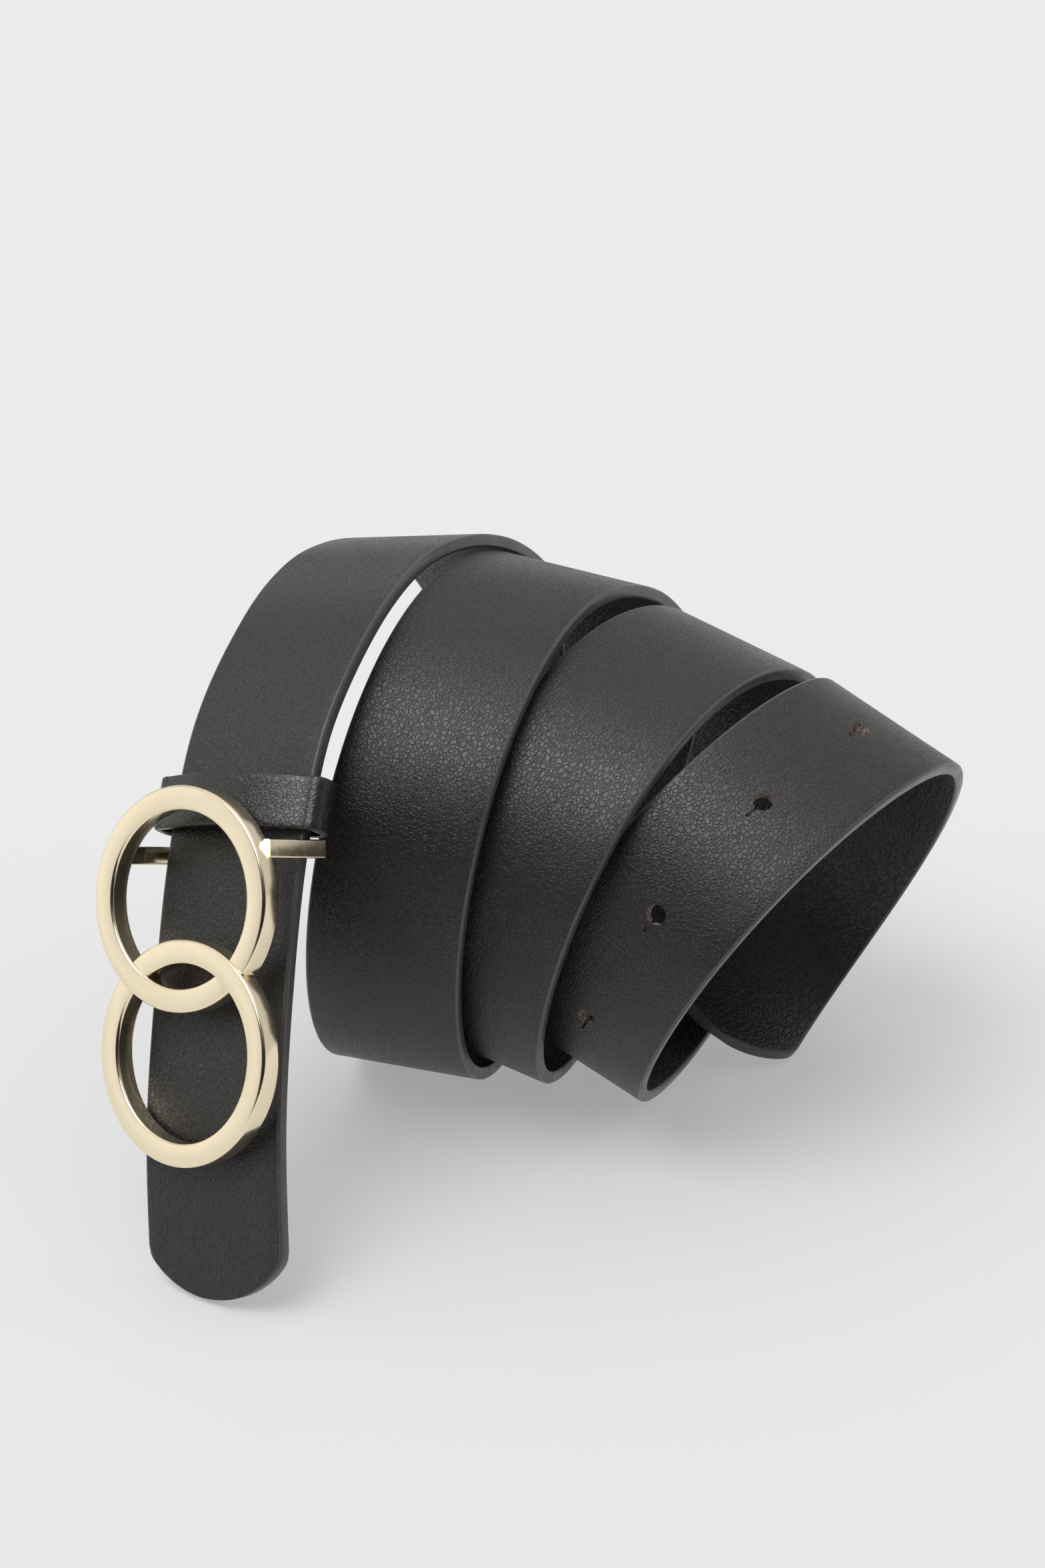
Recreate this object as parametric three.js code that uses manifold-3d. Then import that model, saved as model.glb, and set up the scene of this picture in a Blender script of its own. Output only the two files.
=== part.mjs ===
// Double ring belt, standing as a loose roll whose inner turns are pulled out to one side.
// Millimetres, degrees where a name says so, +Z up, +X to the right, +Y away from the viewer.
// One leather strap, one leather keeper, and one metal buckle of two linked rings.

import * as THREE from 'three';
import { mergeVertices } from 'three/addons/utils/BufferGeometryUtils.js';
import Module from 'manifold-3d';

// Strap
const STRAP_WIDTH = 30;
const STRAP_THICKNESS = 2.6;
const STRAP_BEVEL = 0.4;
const TIP_LENGTH = 7.8;
const TIP_FLAT = 3;
const TIP_STEPS = 7;
const STATION_STEP = 6;

// Roll: the centre line of the outermost turn
const TURN_RADIUS = 51;
const REST_LEAN_DEG = 2;

// Holes near the far end, each with a slit towards the buckle end
const HOLE_COUNT = 5;
const HOLE_DIAMETER = 3.8;
const HOLE_SPACING = 28.2;
const HOLE_TO_TIP = 117;
const SLIT_LENGTH = 3;
const SLIT_WIDTH = 0.7;
const SLIT_OVERLAP = 0.5;
const ROUND_SEGMENTS = 20;

// Buckle: two linked rings, a loop behind the upper one that the strap runs through, and a stud
// behind the lower one that holds the strap by a hole
const RING_DIAMETER = 41;
const RING_FACE = 4.4;
const RING_DEPTH = 4.2;
const RING_BEVEL = 0.6;
const RING_PITCH = 27.7;
const RING_TWIST_DEG = 1.2;
const RING_SEGMENTS = 56;
const PLATE_GAP = 2;
const PLATE_TILT_DEG = 6;
const PLATE_TURN_DEG = 2.5;
const PLATE_ROLL_DEG = 6;
const PLATE_OFFSET = 1;
const LOOP_ABOVE_CENTRE = 8.4;
const LOOP_SIDE_GAP = 1.4;
const LOOP_OFFSET = 1.75;
const LOOP_BACK_GAP = 2;
const LEG_WIDTH = 1.6;
const LEG_HEIGHT = 3.4;
const LEG_ROOT = 1;
const BAR_DEPTH = 1.4;
const STUD_TO_TIP = 26.4;
const STUD_NECK = 2.6;
const STUD_HEAD = 6;
const STUD_HEAD_DEPTH = 1.5;
const STUD_BACK_GAP = 0.7;

// Keeper: a closed leather loop with a bowed front
const KEEPER_WIDTH = 10;
const KEEPER_THICKNESS = 1.6;
const KEEPER_SIDE_GAP = 2;
const KEEPER_FRONT_GAP = 0.5;
const KEEPER_BACK_GAP = 0.5;
const KEEPER_BOW = 2.8;
const KEEPER_CORNER = 2;
const KEEPER_ABOVE_LOOP = 8.9;

// The strap falls from the roll to the ground in front of it. Lengths are shares of TURN_RADIUS:
// across is +X, away is +Y, height is +Z. Yaw turns the strap's right edge towards the viewer and
// lean lowers it, in degrees.
const FALL = [
  { across: -1.07, away: -1.57, height: 0.022, yaw: 27, lean: -19 },
  { across: -1.085, away: -1.30, height: 0.55, yaw: 27, lean: -18 },
  { across: -1.063, away: -1.03, height: 0.955, yaw: 28, lean: -17 },
  { across: -1.016, away: -0.735, height: 1.37, yaw: 28, lean: -16 },
  { across: -0.938, away: -0.42, height: 1.70, yaw: 27, lean: -15 },
  { across: -0.79, away: -0.06, height: 1.925, yaw: 24, lean: -14 },
];

// The turns, from the top of the outermost one to the far end. Turn 1 is the front of the second
// turn, 1.25 its top, 1.5 its back and 1.75 its bottom. Radius, across, away and lift are shares of
// TURN_RADIUS and place the point where the turn stands; back is the share by which its back swells.
const COIL = [
  { turn: 0.25, radius: 1.00, back: 0.17, across: -0.24, away: 0.265, lift: 0.01, yaw: 20, lean: -12 },
  { turn: 0.75, radius: 0.985, back: 0.17, across: -0.30, away: 0.275, lift: 0.0185, yaw: 16, lean: 0 },
  { turn: 1.25, radius: 0.952, back: 0.14, across: -0.20, away: 0.25, lift: 0.045, yaw: 18, lean: 5 },
  { turn: 1.5, radius: 0.934, back: 0.115, across: -0.035, away: 0.229, lift: 0.078, yaw: 20.5, lean: 8 },
  { turn: 1.75, radius: 0.915, back: 0.14, across: -0.01, away: 0.205, lift: 0.105, yaw: 23.5, lean: 10.5 },
  { turn: 2.25, radius: 0.87, back: 0.115, across: 0.23, away: 0.155, lift: 0.085, yaw: 29, lean: 12 },
  { turn: 2.5, radius: 0.862, back: 0.12, across: 0.255, away: 0.13, lift: 0.10, yaw: 31, lean: 15 },
  { turn: 2.75, radius: 0.85, back: 0.115, across: 0.395, away: 0.09, lift: 0.125, yaw: 32.5, lean: 16 },
  { turn: 3.25, radius: 0.785, back: -0.05, across: 0.68, away: 0.02, lift: 0.13, yaw: 30, lean: 22 },
  { turn: 3.75, radius: 0.70, back: 0, across: 0.765, away: -0.03, lift: 0.165, yaw: 20, lean: 29 },
];
const COIL_POINTS_PER_TURN = 24;

const wasm = await Module();
wasm.setup();

const leather = (colour, roughness) => new THREE.MeshStandardMaterial({ color: colour, roughness, metalness: 0 });
const materials = {
  strap: leather(0x383431, 0.5),
  keeper: leather(0x2f2c2a, 0.42),
  buckle: new THREE.MeshStandardMaterial({ color: 0xd9c9a8, roughness: 0.22, metalness: 1 }),
};

// Direction across the strap, from its left edge to its right one, for a yaw and a lean.
function acrossStrap(yawDeg, leanDeg) {
  const yaw = THREE.MathUtils.degToRad(yawDeg);
  const lean = THREE.MathUtils.degToRad(leanDeg);
  return new THREE.Vector3(Math.cos(yaw) * Math.cos(lean), -Math.sin(yaw) * Math.cos(lean), -Math.sin(lean));
}

// Value of one column at a turn, on a smooth curve through the rows.
function columnAt(rows, column, turn) {
  const last = rows.length - 1;
  let i = rows.findIndex((row, k) => k < last && turn <= rows[k + 1].turn);
  if (i < 0) i = last - 1;
  const slope = (k) => {
    const before = rows[Math.max(k - 1, 0)];
    const after = rows[Math.min(k + 1, last)];
    return (after[column] - before[column]) / (after.turn - before.turn);
  };
  const span = rows[i + 1].turn - rows[i].turn;
  const u = (turn - rows[i].turn) / span;
  const start = rows[i][column];
  const end = rows[i + 1][column];
  const blend = u * u * (3 - 2 * u);
  return start + (end - start) * blend
    + slope(i) * span * u * (1 - u) * (1 - u) - slope(i + 1) * span * u * u * (1 - u);
}

function coilPoint(turn) {
  const value = (column) => columnAt(COIL, column, turn);
  const yaw = THREE.MathUtils.degToRad(value('yaw'));
  const lean = THREE.MathUtils.degToRad(value('lean'));
  const angle = 2 * Math.PI * turn;
  const away = new THREE.Vector3(Math.sin(yaw), Math.cos(yaw), 0);
  const up = new THREE.Vector3(Math.sin(lean) * Math.cos(yaw), -Math.sin(lean) * Math.sin(yaw), Math.cos(lean));
  const swell = value('back') * Math.max(-Math.cos(angle), 0) ** 3;
  const radius = (value('radius') + swell) * TURN_RADIUS;
  const foot = new THREE.Vector3(value('across'), value('away'), value('lift')).multiplyScalar(TURN_RADIUS);
  return {
    place: foot.addScaledVector(away, -radius * Math.cos(angle))
      .addScaledVector(up, value('radius') * TURN_RADIUS + radius * Math.sin(angle)),
    yaw: value('yaw'),
    lean: value('lean'),
  };
}

function strapRoute() {
  const stops = FALL.map((row) => ({
    place: new THREE.Vector3(row.across, row.away, row.height).multiplyScalar(TURN_RADIUS),
    yaw: row.yaw,
    lean: row.lean,
  }));
  const first = COIL[0].turn;
  const last = COIL[COIL.length - 1].turn;
  const steps = Math.round((last - first) * COIL_POINTS_PER_TURN);
  for (let i = 0; i <= steps; i += 1) stops.push(coilPoint(first + ((last - first) * i) / steps));
  const line = new THREE.CatmullRomCurve3(stops.map((stop) => stop.place), false, 'centripetal');
  line.arcLengthDivisions = 4000;
  const turning = new THREE.CatmullRomCurve3(stops.map((stop) => new THREE.Vector3(stop.yaw, stop.lean, 0)), false, 'catmullrom');
  return { line, turning, length: line.getLength() };
}

const route = strapRoute();

// Place and directions of the strap at a distance from its near end. Under the outermost turn it
// lies flat on the ground.
function strapFrame(distance) {
  const t = route.line.getUtoTmapping(0, distance);
  const place = route.line.getPoint(t);
  const along = route.line.getTangent(t);
  const turning = route.turning.getPoint(t);
  const across = acrossStrap(turning.x, turning.y);
  if (place.z < STRAP_THICKNESS / 2 && Math.abs(turning.y) < REST_LEAN_DEG) {
    place.z = STRAP_THICKNESS / 2;
    along.setZ(0).normalize();
    across.setZ(0);
  }
  across.addScaledVector(along, -across.dot(along)).normalize();
  const out = new THREE.Vector3().crossVectors(across, along).normalize();
  return { place, along, across, out };
}

function frameMatrix(frame) {
  return new THREE.Matrix4().makeBasis(frame.across, frame.along, frame.out).setPosition(frame.place);
}

// Each end is one shallow arc from side to side.
const TIP_RADIUS = ((STRAP_WIDTH / 2) ** 2 + TIP_LENGTH ** 2) / (2 * TIP_LENGTH);

// Half the strap's width at a distance from the nearer end.
function halfWidthAt(fromEnd) {
  if (fromEnd >= TIP_LENGTH) return STRAP_WIDTH / 2;
  const chord = Math.sqrt(Math.max(TIP_RADIUS ** 2 - (TIP_RADIUS - fromEnd) ** 2, 0));
  return Math.max(chord, TIP_FLAT / 2);
}

function strapSection(halfWidth) {
  const half = STRAP_THICKNESS / 2;
  const b = STRAP_BEVEL;
  return [
    [-halfWidth, -half + b], [-halfWidth + b, -half], [halfWidth - b, -half], [halfWidth, -half + b],
    [halfWidth, half - b], [halfWidth - b, half], [-halfWidth + b, half], [-halfWidth, half - b],
  ];
}

function geometryFrom(points, faces) {
  const geometry = new THREE.BufferGeometry();
  geometry.setAttribute('position', new THREE.Float32BufferAttribute(points, 3));
  geometry.setIndex(faces);
  return geometry;
}

// Closed body through equal sections, with flat ends.
function loft(sections) {
  const count = sections[0].length;
  const points = sections.flatMap((section) => section.flatMap((point) => point.toArray()));
  const faces = [];
  for (let i = 0; i < sections.length - 1; i += 1) {
    for (let k = 0; k < count; k += 1) {
      const a = i * count + k;
      const b = i * count + ((k + 1) % count);
      faces.push(a, a + count, b, b, a + count, b + count);
    }
  }
  const end = (sections.length - 1) * count;
  for (let k = 1; k < count - 1; k += 1) {
    faces.push(0, k, k + 1, end, end + k + 1, end + k);
  }
  return geometryFrom(points, faces);
}

function solidFrom(geometry) {
  const bare = geometry.clone();
  bare.deleteAttribute('normal');
  bare.deleteAttribute('uv');
  const merged = mergeVertices(bare, 1e-4);
  return new wasm.Manifold(new wasm.Mesh({
    numProp: 3,
    vertProperties: new Float32Array(merged.attributes.position.array),
    triVerts: new Uint32Array(merged.index.array),
  }));
}

function geometryOf(solid) {
  const mesh = solid.getMesh();
  return geometryFrom(Array.from(mesh.vertProperties), Array.from(mesh.triVerts));
}

function placed(geometry, matrix) {
  return geometry.clone().applyMatrix4(matrix);
}

// Distances of the sections from the buckle end: close together on the round ends.
function strapStations() {
  const arc = Math.acos(1 - TIP_LENGTH / TIP_RADIUS);
  const tip = [0];
  for (let i = 2; i <= TIP_STEPS; i += 1) tip.push(TIP_RADIUS * (1 - Math.cos((arc * i) / TIP_STEPS)));
  const straight = route.length - 2 * TIP_LENGTH;
  const steps = Math.round(straight / STATION_STEP);
  const middle = [];
  for (let i = 1; i < steps; i += 1) middle.push(TIP_LENGTH + (straight * i) / steps);
  return [...tip, ...middle, ...tip.map((d) => route.length - d).reverse()];
}

function buildStrap() {
  const sections = strapStations().map((distance) => {
    const frame = strapFrame(distance);
    const half = halfWidthAt(Math.min(distance, route.length - distance));
    return strapSection(half).map(([x, z]) => frame.place.clone()
      .addScaledVector(frame.across, x)
      .addScaledVector(frame.out, z));
  });
  let strap = solidFrom(loft(sections));
  const depth = 4 * STRAP_THICKNESS;
  const round = new THREE.CylinderGeometry(HOLE_DIAMETER / 2, HOLE_DIAMETER / 2, depth, ROUND_SEGMENTS)
    .rotateX(Math.PI / 2);
  const slit = new THREE.BoxGeometry(SLIT_WIDTH, SLIT_LENGTH, depth)
    .translate(0, SLIT_OVERLAP - HOLE_DIAMETER / 2 - SLIT_LENGTH / 2, 0);
  const cut = (tool, distance) => {
    strap = strap.subtract(solidFrom(placed(tool, frameMatrix(strapFrame(distance)))));
  };
  for (let i = 0; i < HOLE_COUNT; i += 1) {
    const distance = route.length - HOLE_TO_TIP - i * HOLE_SPACING;
    cut(round, distance);
    cut(slit, distance);
  }
  cut(round, STUD_TO_TIP);
  return geometryOf(strap);
}

// The buckle's own directions are x across, y up the strap and z out of its face. Its origin is
// on the plane of the rings' backs, over the stud.
const RING_RADIUS = RING_DIAMETER / 2;
const RING_MIDDLE = RING_RADIUS - RING_FACE / 2;
const LOWER_CENTRE = RING_MIDDLE;
const UPPER_CENTRE = LOWER_CENTRE + RING_PITCH;
const LOOP_CENTRE = UPPER_CENTRE + LOOP_ABOVE_CENTRE;

function ring(centreY, twistDeg) {
  const inner = RING_RADIUS - RING_FACE;
  const b = RING_BEVEL;
  const profile = [
    [inner, b / 2], [inner + b / 2, 0], [RING_RADIUS - b / 2, 0], [RING_RADIUS, b / 2],
    [RING_RADIUS, RING_DEPTH - b], [RING_RADIUS - b, RING_DEPTH], [inner + b, RING_DEPTH], [inner, RING_DEPTH - b],
    [inner, b / 2],
  ].map(([x, y]) => new THREE.Vector2(x, y));
  return new THREE.LatheGeometry(profile, RING_SEGMENTS)
    .rotateX(Math.PI / 2)
    .rotateY(THREE.MathUtils.degToRad(twistDeg))
    .translate(0, centreY, 0);
}

// Distance from the plane of the rings' backs to the strap's back, at a height up the buckle.
function strapBackAt(y) {
  return PLATE_GAP + STRAP_THICKNESS + y * Math.tan(THREE.MathUtils.degToRad(PLATE_TILT_DEG));
}

function buildLoop() {
  const barFront = -strapBackAt(LOOP_CENTRE + LEG_HEIGHT / 2) - LOOP_BACK_GAP;
  const barBack = barFront - BAR_DEPTH;
  const legX = STRAP_WIDTH / 2 + LOOP_SIDE_GAP + LEG_WIDTH / 2;
  const legs = [-1, 1].map((side) => new THREE.BoxGeometry(LEG_WIDTH, LEG_HEIGHT, LEG_ROOT - barBack)
    .translate(LOOP_OFFSET + side * legX, LOOP_CENTRE, (LEG_ROOT + barBack) / 2));
  const bar = new THREE.BoxGeometry(2 * legX, LEG_HEIGHT, BAR_DEPTH)
    .translate(LOOP_OFFSET, LOOP_CENTRE, (barFront + barBack) / 2);
  return [...legs, bar];
}

function buildStud() {
  const headFront = -strapBackAt(0) - STUD_BACK_GAP;
  const headBack = headFront - STUD_HEAD_DEPTH;
  const disc = (radius, front, back) => new THREE.CylinderGeometry(radius, radius, front - back, ROUND_SEGMENTS)
    .rotateX(Math.PI / 2)
    .translate(PLATE_OFFSET, 0, (front + back) / 2);
  return [disc(STUD_NECK / 2, LEG_ROOT, (headFront + headBack) / 2), disc(STUD_HEAD / 2, headFront, headBack)];
}

function buildBuckle() {
  const parts = [ring(UPPER_CENTRE, RING_TWIST_DEG), ring(LOWER_CENTRE, -RING_TWIST_DEG), ...buildLoop(), ...buildStud()];
  return geometryOf(parts.map(solidFrom).reduce((whole, part) => whole.add(part)));
}

// The buckle follows the straight line from the strap at the stud to the strap at the loop, and the
// stud's neck passes the middle of its hole.
function buckleMatrix() {
  const tilt = THREE.MathUtils.degToRad(PLATE_TILT_DEG);
  const turn = THREE.MathUtils.degToRad(PLATE_TURN_DEG);
  const roll = THREE.MathUtils.degToRad(PLATE_ROLL_DEG);
  const foot = strapFrame(STUD_TO_TIP);
  const head = strapFrame(STUD_TO_TIP + LOOP_CENTRE);
  const along = head.place.clone().sub(foot.place).normalize();
  const across = foot.across.clone().add(head.across);
  across.addScaledVector(along, -across.dot(along)).normalize();
  const out = new THREE.Vector3().crossVectors(across, along);
  return frameMatrix({ place: foot.place, along, across, out })
    .multiply(new THREE.Matrix4().makeRotationX(tilt))
    .multiply(new THREE.Matrix4().makeRotationY(-roll))
    .multiply(new THREE.Matrix4().makeRotationZ(turn))
    .multiply(new THREE.Matrix4().makeTranslation(-PLATE_OFFSET, 0, STRAP_THICKNESS / 2 + PLATE_GAP));
}

function keeperOutline(halfWidth, back, front, bow, corner) {
  const shape = new THREE.Shape();
  shape.moveTo(-halfWidth + corner, -back);
  shape.lineTo(halfWidth - corner, -back);
  shape.quadraticCurveTo(halfWidth, -back, halfWidth, -back + corner);
  shape.lineTo(halfWidth, front - corner);
  shape.quadraticCurveTo(halfWidth, front, halfWidth - corner, front);
  shape.quadraticCurveTo(0, front + 2 * bow, -halfWidth + corner, front);
  shape.quadraticCurveTo(-halfWidth, front, -halfWidth, front - corner);
  shape.lineTo(-halfWidth, -back + corner);
  shape.quadraticCurveTo(-halfWidth, -back, -halfWidth + corner, -back);
  return shape;
}

function buildKeeper() {
  const half = STRAP_THICKNESS / 2;
  const wall = KEEPER_THICKNESS;
  const innerHalf = STRAP_WIDTH / 2 + KEEPER_SIDE_GAP;
  const back = half + KEEPER_BACK_GAP;
  const front = half + KEEPER_FRONT_GAP;
  const corner = KEEPER_CORNER;
  const outline = keeperOutline(innerHalf + wall, back + wall, front + wall, KEEPER_BOW, corner + wall / 2);
  outline.holes.push(keeperOutline(innerHalf, back, front, KEEPER_BOW, corner - wall / 2));
  return new THREE.ExtrudeGeometry(outline, { depth: KEEPER_WIDTH, bevelEnabled: false, curveSegments: 8 })
    .translate(0, 0, -KEEPER_WIDTH / 2)
    .rotateX(Math.PI / 2);
}

function meshOf(name, geometry, matrix) {
  const mesh = new THREE.Mesh(geometry, materials[name]);
  mesh.name = name;
  matrix.decompose(mesh.position, mesh.quaternion, mesh.scale);
  return mesh;
}

const belt = new THREE.Group();
belt.add(meshOf('strap', buildStrap(), new THREE.Matrix4()));
belt.add(meshOf('keeper', buildKeeper(), frameMatrix(strapFrame(STUD_TO_TIP + LOOP_CENTRE + KEEPER_ABOVE_LOOP))));
belt.add(meshOf('buckle', buildBuckle(), buckleMatrix()));

// The origin is on the ground, under the middle of the whole belt.
belt.updateMatrixWorld(true);
const box = new THREE.Box3().setFromObject(belt, true);
const centre = box.getCenter(new THREE.Vector3());
belt.position.set(-centre.x, -centre.y, -box.min.z);

const group = new THREE.Group();
group.add(belt);
export default group;
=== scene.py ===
"""Double ring belt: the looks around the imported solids, in metres, in the frame's own axes."""

import math

import bpy
import numpy as np
from mathutils import Matrix


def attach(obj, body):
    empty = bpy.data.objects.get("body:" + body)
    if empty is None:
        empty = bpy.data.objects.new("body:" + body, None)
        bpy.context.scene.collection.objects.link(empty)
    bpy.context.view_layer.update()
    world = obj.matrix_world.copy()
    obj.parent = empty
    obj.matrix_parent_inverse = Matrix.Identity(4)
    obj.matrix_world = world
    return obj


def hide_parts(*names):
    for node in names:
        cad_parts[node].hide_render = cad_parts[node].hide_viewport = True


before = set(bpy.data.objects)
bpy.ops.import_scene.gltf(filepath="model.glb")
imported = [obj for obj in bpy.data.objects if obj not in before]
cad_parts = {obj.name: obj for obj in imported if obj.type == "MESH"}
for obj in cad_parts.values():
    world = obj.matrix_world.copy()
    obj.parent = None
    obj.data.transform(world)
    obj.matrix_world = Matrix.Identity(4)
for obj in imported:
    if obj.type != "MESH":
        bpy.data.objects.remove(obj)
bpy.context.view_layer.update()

MM = 0.001

# Sizes in millimetres and degrees, the same as the solids'

STRAP_WIDTH = 30
STRAP_THICKNESS = 2.6
TIP_LENGTH = 7.8
TURN_RADIUS = 51
REST_LEAN_DEG = 2
HOLE_COUNT = 5
HOLE_DIAMETER = 3.8
HOLE_SPACING = 28.2
HOLE_TO_TIP = 117
SLIT_LENGTH = 3
SLIT_WIDTH = 0.7
SLIT_OVERLAP = 0.5
STUD_TO_TIP = 26.4

RING_DIAMETER = 41
RING_FACE = 4.4
RING_DEPTH = 4.2
RING_BEVEL = 0.6
RING_PITCH = 27.7
RING_TWIST_DEG = 1.2
PLATE_GAP = 2
PLATE_TILT_DEG = 6
PLATE_TURN_DEG = 2.5
PLATE_ROLL_DEG = 6
PLATE_OFFSET = 1
LOOP_ABOVE_CENTRE = 8.4
LOOP_SIDE_GAP = 1.4
LOOP_OFFSET = 1.75
LOOP_BACK_GAP = 2
LEG_WIDTH = 1.6
LEG_HEIGHT = 3.4
LEG_ROOT = 1
BAR_DEPTH = 1.4
STUD_NECK = 2.6
STUD_HEAD = 6
STUD_HEAD_DEPTH = 1.5
STUD_BACK_GAP = 0.7
RING_RADIUS = RING_DIAMETER / 2
LOWER_CENTRE = RING_RADIUS - RING_FACE / 2
UPPER_CENTRE = LOWER_CENTRE + RING_PITCH
LOOP_CENTRE = UPPER_CENTRE + LOOP_ABOVE_CENTRE

KEEPER_WIDTH = 10
KEEPER_THICKNESS = 1.6
KEEPER_SIDE_GAP = 2
KEEPER_FRONT_GAP = 0.5
KEEPER_BACK_GAP = 0.5
KEEPER_BOW = 2.8
KEEPER_CORNER = 2
KEEPER_ABOVE_LOOP = 8.9


# The strap's route, also the same as the solid's

COIL_POINTS_PER_TURN = 24
ROUTE_SAMPLES = 4001
# Where the route's own origin lies in the frame
ROUTE_ORIGIN = np.array([-3.7132, 3.3877, 0.0])

# The falling end, as shares of TURN_RADIUS: across, away, height, then yaw and lean in degrees
FALL = [
    (-1.07, -1.57, 0.022, 27, -19),
    (-1.085, -1.30, 0.55, 27, -18),
    (-1.063, -1.03, 0.955, 28, -17),
    (-1.016, -0.735, 1.37, 28, -16),
    (-0.938, -0.42, 1.70, 27, -15),
    (-0.79, -0.06, 1.925, 24, -14),
]
# The turns: turn, then radius, back, across, away and lift as shares, then yaw and lean in degrees
COIL = np.array([
    (0.25, 1.00, 0.17, -0.24, 0.265, 0.01, 20, -12),
    (0.75, 0.985, 0.17, -0.30, 0.275, 0.0185, 16, 0),
    (1.25, 0.952, 0.14, -0.20, 0.25, 0.045, 18, 5),
    (1.5, 0.934, 0.115, -0.035, 0.229, 0.078, 20.5, 8),
    (1.75, 0.915, 0.14, -0.01, 0.205, 0.105, 23.5, 10.5),
    (2.25, 0.87, 0.115, 0.23, 0.155, 0.085, 29, 12),
    (2.5, 0.862, 0.12, 0.255, 0.13, 0.10, 31, 15),
    (2.75, 0.85, 0.115, 0.395, 0.09, 0.125, 32.5, 16),
    (3.25, 0.785, -0.05, 0.68, 0.02, 0.13, 30, 22),
    (3.75, 0.70, 0, 0.765, -0.03, 0.165, 20, 29),
])


def coil_slope(i):
    """Change of the columns per turn round a row, from the rows on either side."""
    before, after = COIL[max(i - 1, 0)], COIL[min(i + 1, len(COIL) - 1)]
    return (after - before)[1:] / (after[0] - before[0])


def coil_values(turn):
    """The columns after the first, at a turn, on a smooth curve through the rows."""
    turns = COIL[:, 0]
    i = min(int(np.searchsorted(turns[1:], turn)), len(COIL) - 2)
    span = turns[i + 1] - turns[i]
    u = (turn - turns[i]) / span
    start, end = COIL[i, 1:], COIL[i + 1, 1:]
    return (start + (end - start) * u * u * (3 - 2 * u)
            + coil_slope(i) * span * u * (1 - u) ** 2
            - coil_slope(i + 1) * span * u * u * (1 - u))


def coil_point(turn):
    """Place of the roll's centre line at a turn, and the strap's yaw and lean there."""
    radius, back, across, away, lift, yaw_deg, lean_deg = coil_values(turn)
    yaw, lean, angle = math.radians(yaw_deg), math.radians(lean_deg), 2 * math.pi * turn
    level = np.array([math.sin(yaw), math.cos(yaw), 0])
    up = np.array([math.sin(lean) * math.cos(yaw), -math.sin(lean) * math.sin(yaw),
                   math.cos(lean)])
    reach = (radius + back * max(-math.cos(angle), 0) ** 3) * TURN_RADIUS
    foot = np.array([across, away, lift]) * TURN_RADIUS
    height = radius * TURN_RADIUS + reach * math.sin(angle)
    return foot - level * reach * math.cos(angle) + up * height, (yaw_deg, lean_deg)


class Spline:
    """Catmull-Rom curve through points; knots follow the chords' square roots if centripetal."""

    def __init__(self, points, centripetal):
        p = np.array(points, float)
        p = np.vstack([2 * p[0] - p[1], p, 2 * p[-1] - p[-2]])
        chord = np.linalg.norm(np.diff(p, axis=0), axis=1)[:, None]
        step = np.sqrt(chord) if centripetal else np.ones_like(chord)
        d0, d1, d2 = step[:-2], step[1:-1], step[2:]
        p0, p1, p2, p3 = p[:-3], p[1:-2], p[2:-1], p[3:]
        m1 = ((p1 - p0) / d0 - (p2 - p0) / (d0 + d1) + (p2 - p1) / d1) * d1
        m2 = ((p2 - p1) / d1 - (p3 - p1) / (d1 + d2) + (p3 - p2) / d2) * d1
        self.terms = (p1, m1, -3 * p1 + 3 * p2 - 2 * m1 - m2, 2 * p1 - 2 * p2 + m1 + m2)
        self.spans = len(p1)

    def at(self, t):
        """Values and directions at shares of the curve from 0 to 1."""
        x = np.clip(np.asarray(t, float), 0, 1) * self.spans
        i = np.minimum(x.astype(int), self.spans - 1)
        u = (x - i)[:, None]
        a, b, c, d = (term[i] for term in self.terms)
        return a + u * (b + u * (c + u * d)), b + u * (2 * c + 3 * u * d)


def strap_route():
    """Splines of the centre line and of yaw and lean, and the line's length at sampled shares."""
    stops = [(np.array(row[:3]) * TURN_RADIUS, row[3:]) for row in FALL]
    first, last = COIL[0, 0], COIL[-1, 0]
    steps = round((last - first) * COIL_POINTS_PER_TURN)
    stops += [coil_point(first + (last - first) * i / steps) for i in range(steps + 1)]
    line = Spline([place for place, _ in stops], True)
    turning = Spline([turn for _, turn in stops], False)
    samples = np.linspace(0, 1, ROUTE_SAMPLES)
    places, _ = line.at(samples)
    chords = np.linalg.norm(np.diff(places, axis=0), axis=1)
    return line, turning, samples, np.concatenate([[0], np.cumsum(chords)])


ROUTE = strap_route()
ROUTE_LENGTH = ROUTE[3][-1]


def strap_frames(distances):
    """Place, along, across and out of the strap at distances from the near end."""
    line, turning, samples, lengths = ROUTE
    t = np.interp(distances, lengths, samples)
    place, along = line.at(t)
    along = along / np.linalg.norm(along, axis=1)[:, None]
    angles = turning.at(t)[0]
    yaw, lean = np.radians(angles[:, 0]), np.radians(angles[:, 1])
    across = np.stack([np.cos(yaw) * np.cos(lean), -np.sin(yaw) * np.cos(lean), -np.sin(lean)],
                      axis=1)
    flat = (place[:, 2] < STRAP_THICKNESS / 2) & (np.abs(angles[:, 1]) < REST_LEAN_DEG)
    place[flat, 2] = STRAP_THICKNESS / 2
    along[flat, 2] = 0
    across[flat, 2] = 0
    along = along / np.linalg.norm(along, axis=1)[:, None]
    across = across - along * (across * along).sum(1)[:, None]
    across = across / np.linalg.norm(across, axis=1)[:, None]
    return place + ROUTE_ORIGIN, along, across, np.cross(across, along)


# Materials

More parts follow.
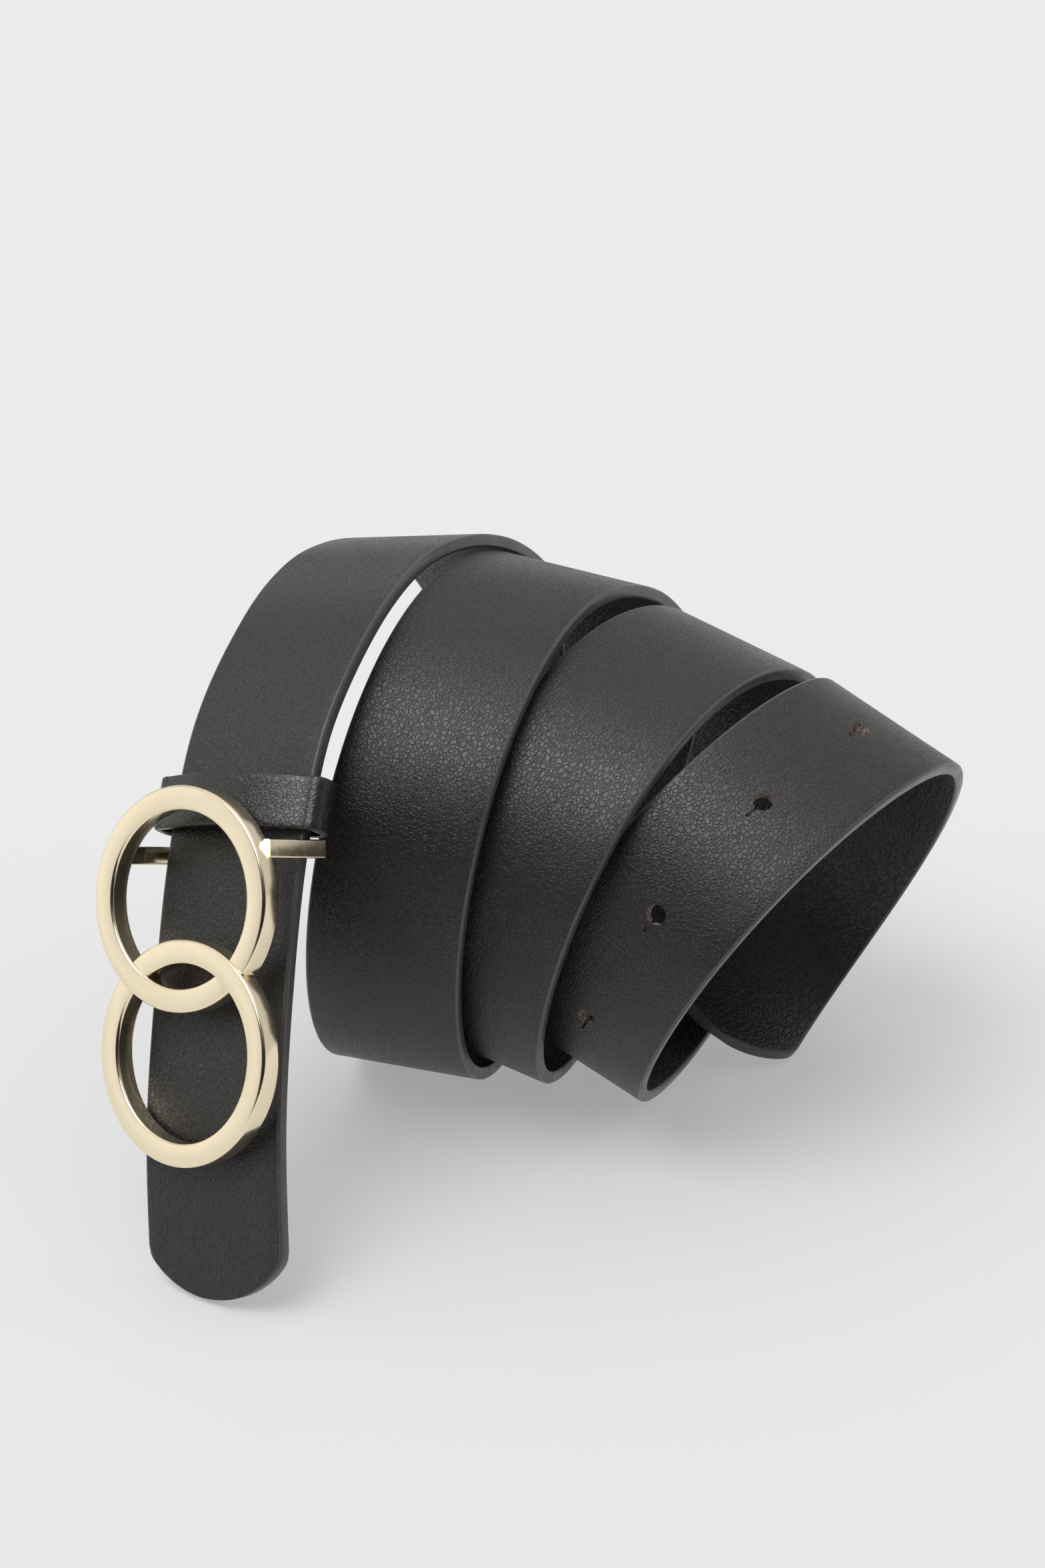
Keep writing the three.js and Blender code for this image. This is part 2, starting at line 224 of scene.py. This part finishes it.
class Nodes:
    """The node tree of a material or world, with short calls for the nodes it uses."""

    def __init__(self, owner, shader="Principled BSDF", places="Object"):
        owner.use_nodes = True
        self.tree = owner.node_tree
        self.shader = self.tree.nodes[shader]
        self.places = self.add("ShaderNodeTexCoord").outputs[places]

    def add(self, kind, **settings):
        node = self.tree.nodes.new(kind)
        for key, value in settings.items():
            setattr(node, key, value)
        return node

    def link(self, source, target):
        """Joins a socket to a target, or sets a constant on it."""
        if isinstance(source, bpy.types.NodeSocket):
            self.tree.links.new(source, target)
        else:
            target.default_value = source

    def shade(self, name, source):
        self.link(source, self.shader.inputs[name])

    def noise(self, scale, detail=2.0):
        node = self.add("ShaderNodeTexNoise")
        self.link(self.places, node.inputs["Vector"])
        self.link(scale, node.inputs["Scale"])
        self.link(detail, node.inputs["Detail"])
        return node.outputs["Fac"]

    def shifted(self, scale, amount):
        """The places moved a little by noise, so that cells aren't straight-sided."""
        node = self.add("ShaderNodeTexNoise")
        self.link(self.places, node.inputs["Vector"])
        self.link(scale, node.inputs["Scale"])
        moved = self.add("ShaderNodeVectorMath", operation='MULTIPLY_ADD')
        self.link(node.outputs["Color"], moved.inputs[0])
        self.link((amount,) * 3, moved.inputs[1])
        self.link(self.places, moved.inputs[2])
        return moved.outputs["Vector"]

    def stretched(self, places, stretch):
        node = self.add("ShaderNodeMapping")
        self.link(places, node.inputs["Vector"])
        self.link(stretch, node.inputs["Scale"])
        return node.outputs["Vector"]

    def cells(self, scale, places, crease):
        """0 in the creases between cells, 1 on top of them."""
        node = self.add("ShaderNodeTexVoronoi", feature='DISTANCE_TO_EDGE')
        self.link(places, node.inputs["Vector"])
        self.link(scale, node.inputs["Scale"])
        return self.range(node.outputs["Distance"], (0.0, crease), (0.0, 1.0), 'SMOOTHSTEP')

    def range(self, value, span, to, kind='LINEAR'):
        """Takes a value from one span to another, and no further than its ends."""
        node = self.add("ShaderNodeMapRange", interpolation_type=kind)
        for name, number in zip(("From Min", "From Max", "To Min", "To Max"), (*span, *to)):
            self.link(number, node.inputs[name])
        self.link(value, node.inputs["Value"])
        return node.outputs["Result"]

    def maths(self, operation, a, b):
        node = self.add("ShaderNodeMath", operation=operation)
        self.link(a, node.inputs[0])
        self.link(b, node.inputs[1])
        return node.outputs["Value"]

    def mix(self, factor, colours):
        node = self.add("ShaderNodeMix", data_type='RGBA')
        self.link(factor, node.inputs["Factor"])
        for name, colour in zip(("A", "B"), colours):
            self.link((*colour, 1), node.inputs[name])
        return node.outputs["Result"]

    def bump(self, height, strength, distance):
        node = self.add("ShaderNodeBump")
        self.link(strength, node.inputs["Strength"])
        self.link(distance, node.inputs["Distance"])
        self.link(height, node.inputs["Height"])
        self.shade("Normal", node.outputs["Normal"])


def new_material(name, places="Object"):
    material = bpy.data.materials.new(name)
    return material, Nodes(material, places=places)


# Colours of the leathers: a crease colour, much darker as painted shade in the creases, and a cell
# colour; and the two shades of the others
OUTER_COLOURS = ((0.002, 0.0017, 0.0014), (0.0195, 0.0158, 0.0128))
INNER_COLOURS = ((0.003, 0.003, 0.003), (0.016, 0.0154, 0.0147))
KEEPER_COLOURS = ((0.003, 0.0027, 0.0024), (0.015, 0.0132, 0.0115))
EDGE_COLOURS = ((0.05, 0.0455, 0.042), (0.1, 0.092, 0.087))
CORE_COLOURS = ((0.04, 0.03, 0.027), (0.42, 0.32, 0.30))
GOLD_COLOURS = ((0.88, 0.76, 0.54), (0.91, 0.80, 0.59))
EDGE_ROUGHNESS = (0.26, 0.4)
CORE_ROUGHNESS = 0.85
GOLD_ROUGHNESS = (0.12, 0.19)

# Leather grain: noises and cells per large cell, creases and depth as shares of a cell
SHIFT_NOISE, SHIFT_AMOUNT = 0.8, 1.5
SMALL_CELLS = 1.9
LARGE_CREASE, SMALL_CREASE = 0.2, 0.3
LARGE_SHARE, SMALL_SHARE = 0.7, 0.3
UNEVEN_NOISE, UNEVEN_SHARES = 0.12, (0.35, 1.0)
WAVE_NOISE, WAVE_SHARE = 0.45, 0.45
GRAIN_DEPTH = 0.1
# Its gloss, and how much rougher it is where it is worn and in the creases
LEATHER_GLOSS = 0.65
WEAR_NOISE = 55
WEAR_ROUGHNESS = (-0.04, 0.05)
CREASE_ROUGHNESS = 0.14
# The middle part of what a noise or the grain gives
NOISE_SPAN = (0.3, 0.7)
NARROW_NOISE_SPAN = (0.35, 0.65)
GRAIN_SPAN = (0.1, 0.9)


def leather(name, colours, roughness, size, strength, stretch=(1, 1, 1), places="Object"):
    """Coated leather: small rounded cells, with fine creases between them painted in the much
    darker first colour as crease shade.
    """
    material, nodes = new_material(name, places)
    moved = nodes.stretched(nodes.shifted(SHIFT_NOISE / size, SHIFT_AMOUNT * size), stretch)
    large = nodes.cells(1 / size, moved, LARGE_CREASE)
    small = nodes.cells(SMALL_CELLS / size, moved, SMALL_CREASE)
    uneven = nodes.range(nodes.noise(UNEVEN_NOISE / size), NARROW_NOISE_SPAN, UNEVEN_SHARES)
    uneven_small = nodes.maths('MULTIPLY', small, uneven)
    grain = nodes.maths('ADD', nodes.maths('MULTIPLY', large, LARGE_SHARE),
                        nodes.maths('MULTIPLY', uneven_small, SMALL_SHARE))
    waves = nodes.maths('MULTIPLY', nodes.noise(WAVE_NOISE / size), WAVE_SHARE)
    nodes.bump(nodes.maths('ADD', grain, waves), strength, GRAIN_DEPTH * size)
    nodes.shade("Specular IOR Level", LEATHER_GLOSS)
    # The base colour follows the grain's height: painted shade, darker in the creases.
    nodes.shade("Base Color", nodes.mix(nodes.range(grain, GRAIN_SPAN, (0.0, 1.0)), colours))
    worn = [roughness + change for change in WEAR_ROUGHNESS]
    nodes.shade("Roughness", nodes.maths(
        'ADD', nodes.range(nodes.noise(WEAR_NOISE, 3.0), NOISE_SPAN, worn),
        nodes.range(grain, GRAIN_SPAN, (CREASE_ROUGHNESS, 0.0))))
    return material


def edge_paint():
    material, nodes = new_material("edge_paint")
    nodes.bump(nodes.noise(700, 3.0), strength=0.25, distance=0.0001)
    nodes.shade("Base Color", nodes.mix(nodes.noise(900, 3.0), EDGE_COLOURS))
    nodes.shade("Roughness", nodes.range(nodes.noise(300), NOISE_SPAN, EDGE_ROUGHNESS))
    return material


def hole_wall():
    material, nodes = new_material("hole_wall")
    fibres = nodes.noise(1800, 4.0)
    nodes.bump(fibres, strength=0.8, distance=0.0002)
    nodes.shade("Base Color", nodes.mix(nodes.range(fibres, NARROW_NOISE_SPAN, (0.0, 1.0)),
                                        CORE_COLOURS))
    nodes.shade("Roughness", CORE_ROUGHNESS)
    return material


def plated_metal():
    material, nodes = new_material("pale_gold")
    nodes.shade("Metallic", 1)
    nodes.shade("Base Color", nodes.mix(nodes.noise(120, 3.0), GOLD_COLOURS))
    nodes.shade("Roughness", nodes.range(nodes.noise(700, 4.0), NOISE_SPAN, GOLD_ROUGHNESS))
    nodes.bump(nodes.noise(260), strength=0.06, distance=0.0002)
    return material


STRAP_MATERIALS = [
    leather("strap_outer", OUTER_COLOURS, roughness=0.33, size=0.00075, strength=0.75,
            stretch=(0.75, 1, 1), places="UV"),
    edge_paint(),
    leather("strap_inner", INNER_COLOURS, roughness=0.4, size=0.0011, strength=1.0,
            stretch=(0.5, 1, 1), places="UV"),
    hole_wall(),
]
OUTER, EDGE, INNER, CUT = range(4)
KEEPER_LEATHER = leather("keeper_leather", KEEPER_COLOURS, roughness=0.2, size=0.0008,
                         strength=0.5)
PALE_GOLD = plated_metal()


# Meshes

LEATHER_SHARP_DEG = 50
METAL_SHARP_DEG = 35


def smooth(mesh, sharp_deg):
    mesh.shade_smooth()
    mesh.set_sharp_from_angle(angle=math.radians(sharp_deg))


def mesh_object(name, points, faces):
    """A mesh object from points in millimetres."""
    mesh = bpy.data.meshes.new(name)
    mesh.from_pydata((np.asarray(points) * MM).tolist(), [], faces)
    mesh.update()
    made = bpy.data.objects.new(name, mesh)
    bpy.context.scene.collection.objects.link(made)
    return made


def loft(name, rings, closed=False):
    """One skin through equal rings of points. Its ends are filled, or it closes on itself."""
    rings = np.asarray(rings)
    count, around = rings.shape[:2]
    faces = []
    for i in range(count if closed else count - 1):
        a, b = i * around, (i + 1) % count * around
        faces += [(a + k, b + k, b + (k + 1) % around, a + (k + 1) % around)
                  for k in range(around)]
    if not closed:
        last = range((count - 1) * around, count * around)
        faces += [tuple(range(around)), tuple(reversed(last))]
    return mesh_object(name, rings.reshape(-1, 3), faces)


def apply_boolean(target, others, operation):
    """Cuts the others out of the target, or joins them to it, and deletes them."""
    for other in others:
        modifier = target.modifiers.new("cut", 'BOOLEAN')
        modifier.operation = operation
        modifier.solver = 'EXACT'
        modifier.object = other
    graph = bpy.context.evaluated_depsgraph_get()
    result = bpy.data.meshes.new_from_object(target.evaluated_get(graph))
    target.modifiers.clear()
    old = target.data
    target.data = result
    result.name = old.name
    bpy.data.meshes.remove(old)
    for other in others:
        bpy.data.objects.remove(other)


def rounded_bar(half_width, half_depth, radius, per_corner, per_side=1):
    """A rectangle with round corners, anticlockwise from its lower right, as (x, z) rows."""
    rows = []
    for corner, (sx, sz) in enumerate([(1, -1), (1, 1), (-1, 1), (-1, -1)]):
        centre = np.array([sx * (half_width - radius), sz * (half_depth - radius)])
        start = -90 + 90 * corner
        for k in range(per_corner + 1):
            turn = math.radians(start + 90 * k / per_corner)
            rows.append(centre + radius * np.array([math.cos(turn), math.sin(turn)]))
    if per_side == 1:
        return np.array(rows)
    filled = []
    for k in range(len(rows)):
        a, b = rows[k], rows[(k + 1) % len(rows)]
        pieces = per_side if np.linalg.norm(b - a) > 2 * half_depth else 1
        filled += [a + (b - a) * i / pieces for i in range(pieces)]
    return np.array(filled)


# Strap

EDGE_RADIUS = 0.55
EDGE_STEPS = 4
FACE_STEPS = 10
FACE_TOLERANCE = 0.02
STRAP_STEP = 1.5
TIP_STEPS = 26
TIP_EASE = 1.2
TIP_RADIUS = ((STRAP_WIDTH / 2) ** 2 + TIP_LENGTH ** 2) / (2 * TIP_LENGTH)
TIP_LEAST_HALF = 0.02
HOLE_POINTS = 29


def half_width_at(from_end):
    """Half the strap's width at a distance from an end: an arc that eases into the side."""
    arc = math.sqrt(TIP_RADIUS ** 2 - (TIP_RADIUS - min(from_end, TIP_RADIUS)) ** 2)
    half = STRAP_WIDTH / 2
    ease = max(TIP_EASE - abs(arc - half), 0) / TIP_EASE
    return min(arc, half) - ease ** 2 * TIP_EASE / 4


def strap_distances():
    """Distances of the strap's sections from its near end, close together at the round tips."""
    arc = math.acos(1 - TIP_LENGTH / TIP_RADIUS)
    tip = [TIP_RADIUS * (1 - math.cos(arc * i / TIP_STEPS)) for i in range(1, TIP_STEPS + 1)]
    middle = ROUTE_LENGTH - 2 * TIP_LENGTH
    steps = round(middle / STRAP_STEP)
    return np.concatenate([tip, TIP_LENGTH + middle * np.arange(1, steps) / steps,
                           ROUTE_LENGTH - np.array(tip[::-1])])


def strap_section(distance):
    """The strap's outline at a distance, as (across, out) rows; it thins out at the very ends."""
    from_end = min(distance, ROUTE_LENGTH - distance)
    half, depth = half_width_at(from_end), STRAP_THICKNESS / 2
    rows = rounded_bar(STRAP_WIDTH / 2, depth, EDGE_RADIUS, EDGE_STEPS, FACE_STEPS)
    core = STRAP_WIDTH / 2 - depth
    inside = np.clip(rows[:, 0], -core, core)
    rim = rows[:, 0] - inside
    rows[:, 0] = inside * max(half - depth, TIP_LEAST_HALF) / core + rim * min(half / depth, 1)
    short = EDGE_RADIUS - min(from_end, EDGE_RADIUS)
    rows[:, 1] *= (depth - EDGE_RADIUS + math.sqrt(EDGE_RADIUS ** 2 - short ** 2)) / depth
    return rows


def strap_rings(distances):
    places, _, acrosses, outs = strap_frames(distances)
    rings = []
    for distance, place, across, out in zip(distances, places, acrosses, outs):
        rows = strap_section(distance)
        rings.append(place + rows[:, :1] * across + rows[:, 1:] * out)
    return rings


def keyhole(name, distance, slit=True):
    """The cutter of one hole, with its slit or without."""
    place, along, across, out = (row[0] for row in strap_frames([distance]))
    radius = HOLE_DIAMETER / 2
    low = math.asin(SLIT_WIDTH / 2 / radius)
    turns = np.linspace(-math.pi / 2 + low, 1.5 * math.pi - low, HOLE_POINTS)
    rows = [(radius * math.cos(t), radius * math.sin(t)) for t in turns]
    if slit:
        foot = -radius - SLIT_LENGTH + SLIT_OVERLAP
        rows += [(-SLIT_WIDTH / 2, foot), (SLIT_WIDTH / 2, foot)]
    reach = 2 * STRAP_THICKNESS
    return loft(name, [[place + x * across + y * along + z * out for x, y in rows]
                       for z in (reach, -reach)])


def mark_strap(strap, distances):
    """Outer side, edges and inner side by face, and UVs of metres along and across."""
    rows = strap_section(ROUTE_LENGTH / 2)
    middle = (rows + np.roll(rows, -1, axis=0)) / 2
    flat = np.abs(middle[:, 1]) > STRAP_THICKNESS / 2 - FACE_TOLERANCE
    kinds = np.where(flat, np.where(middle[:, 1] > 0, OUTER, INNER), EDGE)
    kinds = np.concatenate([np.tile(kinds, len(distances) - 1), [EDGE, EDGE]])
    mesh = strap.data
    mesh.polygons.foreach_set("material_index", kinds.astype(np.int32))
    across = np.array([strap_section(d)[:, 0] for d in distances]).ravel()
    places = np.stack([np.repeat(distances, len(rows)), across], axis=1) * MM
    corner = np.empty(len(mesh.loops), np.int32)
    mesh.loops.foreach_get("vertex_index", corner)
    mesh.uv_layers.new(name="strap").data.foreach_set("uv", places[corner].ravel())


def make_strap():
    distances = strap_distances()
    strap = loft("strap_leather", strap_rings(distances))
    mark_strap(strap, distances)
    cutters = [keyhole(f"hole_{i}", ROUTE_LENGTH - HOLE_TO_TIP - i * HOLE_SPACING)
               for i in range(HOLE_COUNT)]
    cutters.append(keyhole("hole_stud", STUD_TO_TIP, slit=False))
    for made in (strap, *cutters):
        for material in STRAP_MATERIALS:
            made.data.materials.append(material)
    for cutter in cutters:
        for polygon in cutter.data.polygons:
            polygon.material_index = CUT
    apply_boolean(strap, cutters, 'DIFFERENCE')
    smooth(strap.data, LEATHER_SHARP_DEG)
    return strap


# Keeper

KEEPER_EDGE_RADIUS = 0.45
KEEPER_EDGE_STEPS = 4
KEEPER_FACE_STEPS = 8
KEEPER_BACK_POINTS = 25
KEEPER_CORNER_STEPS = 8
KEEPER_BOW_STEPS = 40


def curve_rows(start, control, end, steps=KEEPER_CORNER_STEPS):
    """Points of a quadratic curve, without its first."""
    u = (np.arange(1, steps + 1) / steps)[:, None]
    start, control, end = (np.array(p, float) for p in (start, control, end))
    return (1 - u) ** 2 * start + 2 * u * (1 - u) * control + u ** 2 * end


def keeper_outline(half, back, front, bow, corner):
    """The keeper's path round the strap, anticlockwise from its lower left, as (x, z) rows."""
    side = half - corner
    return np.vstack([
        np.array([(x, -back) for x in np.linspace(-side, side, KEEPER_BACK_POINTS)]),
        curve_rows((side, -back), (half, -back), (half, -back + corner)),
        curve_rows((half, front - corner), (half, front), (side, front)),
        curve_rows((side, front), (0, front + 2 * bow), (-side, front), KEEPER_BOW_STEPS),
        curve_rows((-side, front), (-half, front), (-half, front - corner)),
        curve_rows((-half, -back + corner), (-half, -back), (-side, -back))[:-1],
    ])


def make_keeper():
    depth = STRAP_THICKNESS / 2
    wall = KEEPER_THICKNESS
    path = keeper_outline(STRAP_WIDTH / 2 + KEEPER_SIDE_GAP + wall / 2,
                          depth + KEEPER_BACK_GAP + wall / 2,
                          depth + KEEPER_FRONT_GAP + wall / 2, KEEPER_BOW, KEEPER_CORNER)
    run = np.roll(path, -1, axis=0) - np.roll(path, 1, axis=0)
    run /= np.linalg.norm(run, axis=1)[:, None]
    outward = np.stack([run[:, 1], -run[:, 0]], axis=1)
    distance = STUD_TO_TIP + LOOP_CENTRE + KEEPER_ABOVE_LOOP
    place, along, across, out = (row[0] for row in strap_frames([distance]))
    section = rounded_bar(KEEPER_WIDTH / 2, wall / 2, KEEPER_EDGE_RADIUS, KEEPER_EDGE_STEPS,
                          KEEPER_FACE_STEPS)
    rings = [[place + along * y + across * (x + nx * t) + out * (z + nz * t) for y, t in section]
             for (x, z), (nx, nz) in zip(path, outward)]
    keeper = loft("keeper_loop", rings, closed=True)
    keeper.data.materials.append(KEEPER_LEATHER)
    smooth(keeper.data, LEATHER_SHARP_DEG)
    return keeper


# Buckle

RING_STEPS = 144
RING_BEVEL_STEPS = 5
RING_FACE_STEPS = 2
LEG_EDGE_RADIUS = 0.4
BAR_EDGE_RADIUS = 0.3
BAR_EDGE_STEPS = 3
# How far the bar's sides stay inside the legs'
BAR_INSET = 0.1
STUD_STEPS = 32


def turning(axis, degrees):
    return np.array(Matrix.Rotation(math.radians(degrees), 3, axis))


def buckle_place():
    """Rotation and origin of the buckle's axes: x across, y up the strap, z out of its face."""
    place, _, across, _ = strap_frames([STUD_TO_TIP, STUD_TO_TIP + LOOP_CENTRE])
    up = place[1] - place[0]
    up /= np.linalg.norm(up)
    side = across[0] + across[1]
    side -= up * (side @ up)
    side /= np.linalg.norm(side)
    basis = np.stack([side, up, np.cross(side, up)], axis=1)
    turn = (basis @ turning('X', PLATE_TILT_DEG) @ turning('Y', -PLATE_ROLL_DEG)
            @ turning('Z', PLATE_TURN_DEG))
    offset = np.array([-PLATE_OFFSET, 0, STRAP_THICKNESS / 2 + PLATE_GAP])
    return turn, place[0] + turn @ offset


BUCKLE_TURN, BUCKLE_ORIGIN = buckle_place()


def in_buckle(rows):
    return np.asarray(rows) @ BUCKLE_TURN.T + BUCKLE_ORIGIN


def make_ring(name, centre_y, twist_deg):
    section = rounded_bar(RING_FACE / 2, RING_DEPTH / 2, RING_BEVEL, RING_BEVEL_STEPS,
                          RING_FACE_STEPS) + (RING_RADIUS - RING_FACE / 2, RING_DEPTH / 2)
    twist = turning('Y', twist_deg)
    rings = []
    for i in range(RING_STEPS):
        a = 2 * math.pi * i / RING_STEPS
        rows = np.array([(r * math.cos(a), r * math.sin(a), z) for r, z in section])
        rings.append(in_buckle(rows @ twist.T + (0, centre_y, 0)))
    return loft(name, rings, closed=True)


def make_bar(name, low, high, radius):
    """A bar between two corners, its longest edges round."""
    low, high = np.array(low, float), np.array(high, float)
    long = int(np.argmax(high - low))
    u, v = [(1, 2), (2, 0), (0, 1)][long]
    centre, half = (low + high) / 2, (high - low) / 2
    section = rounded_bar(half[u], half[v], radius, BAR_EDGE_STEPS)
    rings = []
    for end in (high[long], low[long]):
        rows = np.empty((len(section), 3))
        rows[:, u] = centre[u] + section[:, 0]
        rows[:, v] = centre[v] + section[:, 1]
        rows[:, long] = end
        rings.append(in_buckle(rows))
    return loft(name, rings)


def make_disc(name, radius, low, high):
    turns = [2 * math.pi * i / STUD_STEPS for i in range(STUD_STEPS)]
    circle = [(PLATE_OFFSET + radius * math.cos(t), radius * math.sin(t)) for t in turns]
    return loft(name, [in_buckle([(x, y, z) for x, y in circle]) for z in (high, low)])


def strap_back_at(y):
    """How far the strap's back lies behind the buckle's at a height."""
    return PLATE_GAP + STRAP_THICKNESS + y * math.tan(math.radians(PLATE_TILT_DEG))


def make_buckle():
    low_y, high_y = LOOP_CENTRE - LEG_HEIGHT / 2, LOOP_CENTRE + LEG_HEIGHT / 2
    bar_front = -strap_back_at(high_y) - LOOP_BACK_GAP
    bar_back = bar_front - BAR_DEPTH
    leg_x = STRAP_WIDTH / 2 + LOOP_SIDE_GAP + LEG_WIDTH / 2
    head_front = -strap_back_at(0) - STUD_BACK_GAP
    head_back = head_front - STUD_HEAD_DEPTH
    parts = [make_ring("ring_lower", LOWER_CENTRE, -RING_TWIST_DEG)]
    for side in (-1, 1):
        x = LOOP_OFFSET + side * leg_x
        parts.append(make_bar(f"leg_{side}", (x - LEG_WIDTH / 2, low_y, bar_back),
                              (x + LEG_WIDTH / 2, high_y, LEG_ROOT), LEG_EDGE_RADIUS))
    parts.append(make_bar("bar", (LOOP_OFFSET - leg_x, low_y + BAR_INSET, bar_back + BAR_INSET),
                          (LOOP_OFFSET + leg_x, high_y - BAR_INSET, bar_front), BAR_EDGE_RADIUS))
    neck_back = head_front - STUD_HEAD_DEPTH / 2
    parts.append(make_disc("stud_neck", STUD_NECK / 2, neck_back, LEG_ROOT))
    parts.append(make_disc("stud_head", STUD_HEAD / 2, head_back, head_front))
    buckle = make_ring("buckle_metal", UPPER_CENTRE, RING_TWIST_DEG)
    apply_boolean(buckle, parts, 'UNION')
    buckle.data.materials.clear()
    buckle.data.materials.append(PALE_GOLD)
    smooth(buckle.data, METAL_SHARP_DEG)
    return buckle


for make, node in ((make_strap, "strap"), (make_keeper, "keeper"), (make_buckle, "buckle")):
    piece = make()
    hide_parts(node)
    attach(piece, "root")


# Floor, world and camera

FLOOR_LOW, FLOOR_HIGH = (-4000, -3000), (4000, 5000)
FLOOR_COLOURS = ((0.47, 0.47, 0.47), (0.48, 0.48, 0.48))
FLOOR_ROUGHNESS = 0.9
FLOOR_LIGHT = 0.33

# The world's light: at the camera's side and opposite it, between two shares of Y
CAMERA_SIDE_LIGHT = 0.02
WALL_LIGHT = 0.64
WALL_SPAN = (-0.65, 0.0)
# Added to it: a span over which a light comes in, and its strength
LEFT_LIGHT = ((-0.7, -0.95), 0.4)
TOP_LIGHT = ((0.5, 0.85), 0.3)
SOFTBOX_LIGHT = ((0.92, 0.985), 4.6)
SOFTBOX_WAY = (-0.34, -0.34, 0.88)

# The camera, in pixels of the photograph, and from the route's origin in millimetres
IMAGE_HEIGHT = 2352
FOCAL_PIXELS = 5500
SENSOR_HEIGHT = 36
CAMERA_PITCH_DEG = 28
CAMERA_PLACE = (0.0, -620.7, 394.0)
# What it sees, in metres from it
NEAREST, FARTHEST = 0.01, 50


def make_floor():
    (x0, y0), (x1, y1) = FLOOR_LOW, FLOOR_HIGH
    floor = mesh_object("floor", [(x0, y0, 0), (x1, y0, 0), (x1, y1, 0), (x0, y1, 0)],
                        [(0, 1, 2, 3)])
    material, nodes = new_material("floor_paper")
    nodes.shade("Base Color", nodes.mix(nodes.noise(3), FLOOR_COLOURS))
    nodes.shade("Emission Color", (1, 1, 1, 1))
    nodes.shade("Emission Strength", FLOOR_LIGHT)
    nodes.shade("Roughness", FLOOR_ROUGHNESS)
    floor.data.materials.append(material)


def make_world():
    """A pale studio: bright at the left and top, dark round the camera, a softbox above it."""
    world = bpy.data.worlds.new("studio")
    nodes = Nodes(world, "Background", "Generated")
    split = nodes.add("ShaderNodeSeparateXYZ")
    nodes.link(nodes.places, split.inputs["Vector"])
    towards = nodes.add("ShaderNodeVectorMath", operation='DOT_PRODUCT')
    nodes.link(nodes.places, towards.inputs[0])
    nodes.link(SOFTBOX_WAY, towards.inputs[1])
    light = nodes.range(split.outputs["Y"], WALL_SPAN, (CAMERA_SIDE_LIGHT, WALL_LIGHT),
                        'SMOOTHSTEP')
    for value, (span, strength) in ((split.outputs["X"], LEFT_LIGHT),
                                    (split.outputs["Z"], TOP_LIGHT),
                                    (towards.outputs["Value"], SOFTBOX_LIGHT)):
        light = nodes.maths('ADD', light, nodes.range(value, span, (0.0, strength), 'SMOOTHSTEP'))
    nodes.shade("Color", light)
    bpy.context.scene.world = world


def make_camera():
    data = bpy.data.cameras.new("camera")
    data.sensor_fit = 'VERTICAL'
    data.sensor_height = SENSOR_HEIGHT
    data.lens = FOCAL_PIXELS / IMAGE_HEIGHT * SENSOR_HEIGHT
    data.clip_start = NEAREST
    data.clip_end = FARTHEST
    camera = bpy.data.objects.new("camera", data)
    camera.location = (ROUTE_ORIGIN + CAMERA_PLACE) * MM
    camera.rotation_euler = (math.radians(90 - CAMERA_PITCH_DEG), 0, 0)
    bpy.context.scene.collection.objects.link(camera)
    bpy.context.scene.camera = camera


make_floor()
make_world()
bpy.context.scene.view_settings.view_transform = 'Standard'
make_camera()
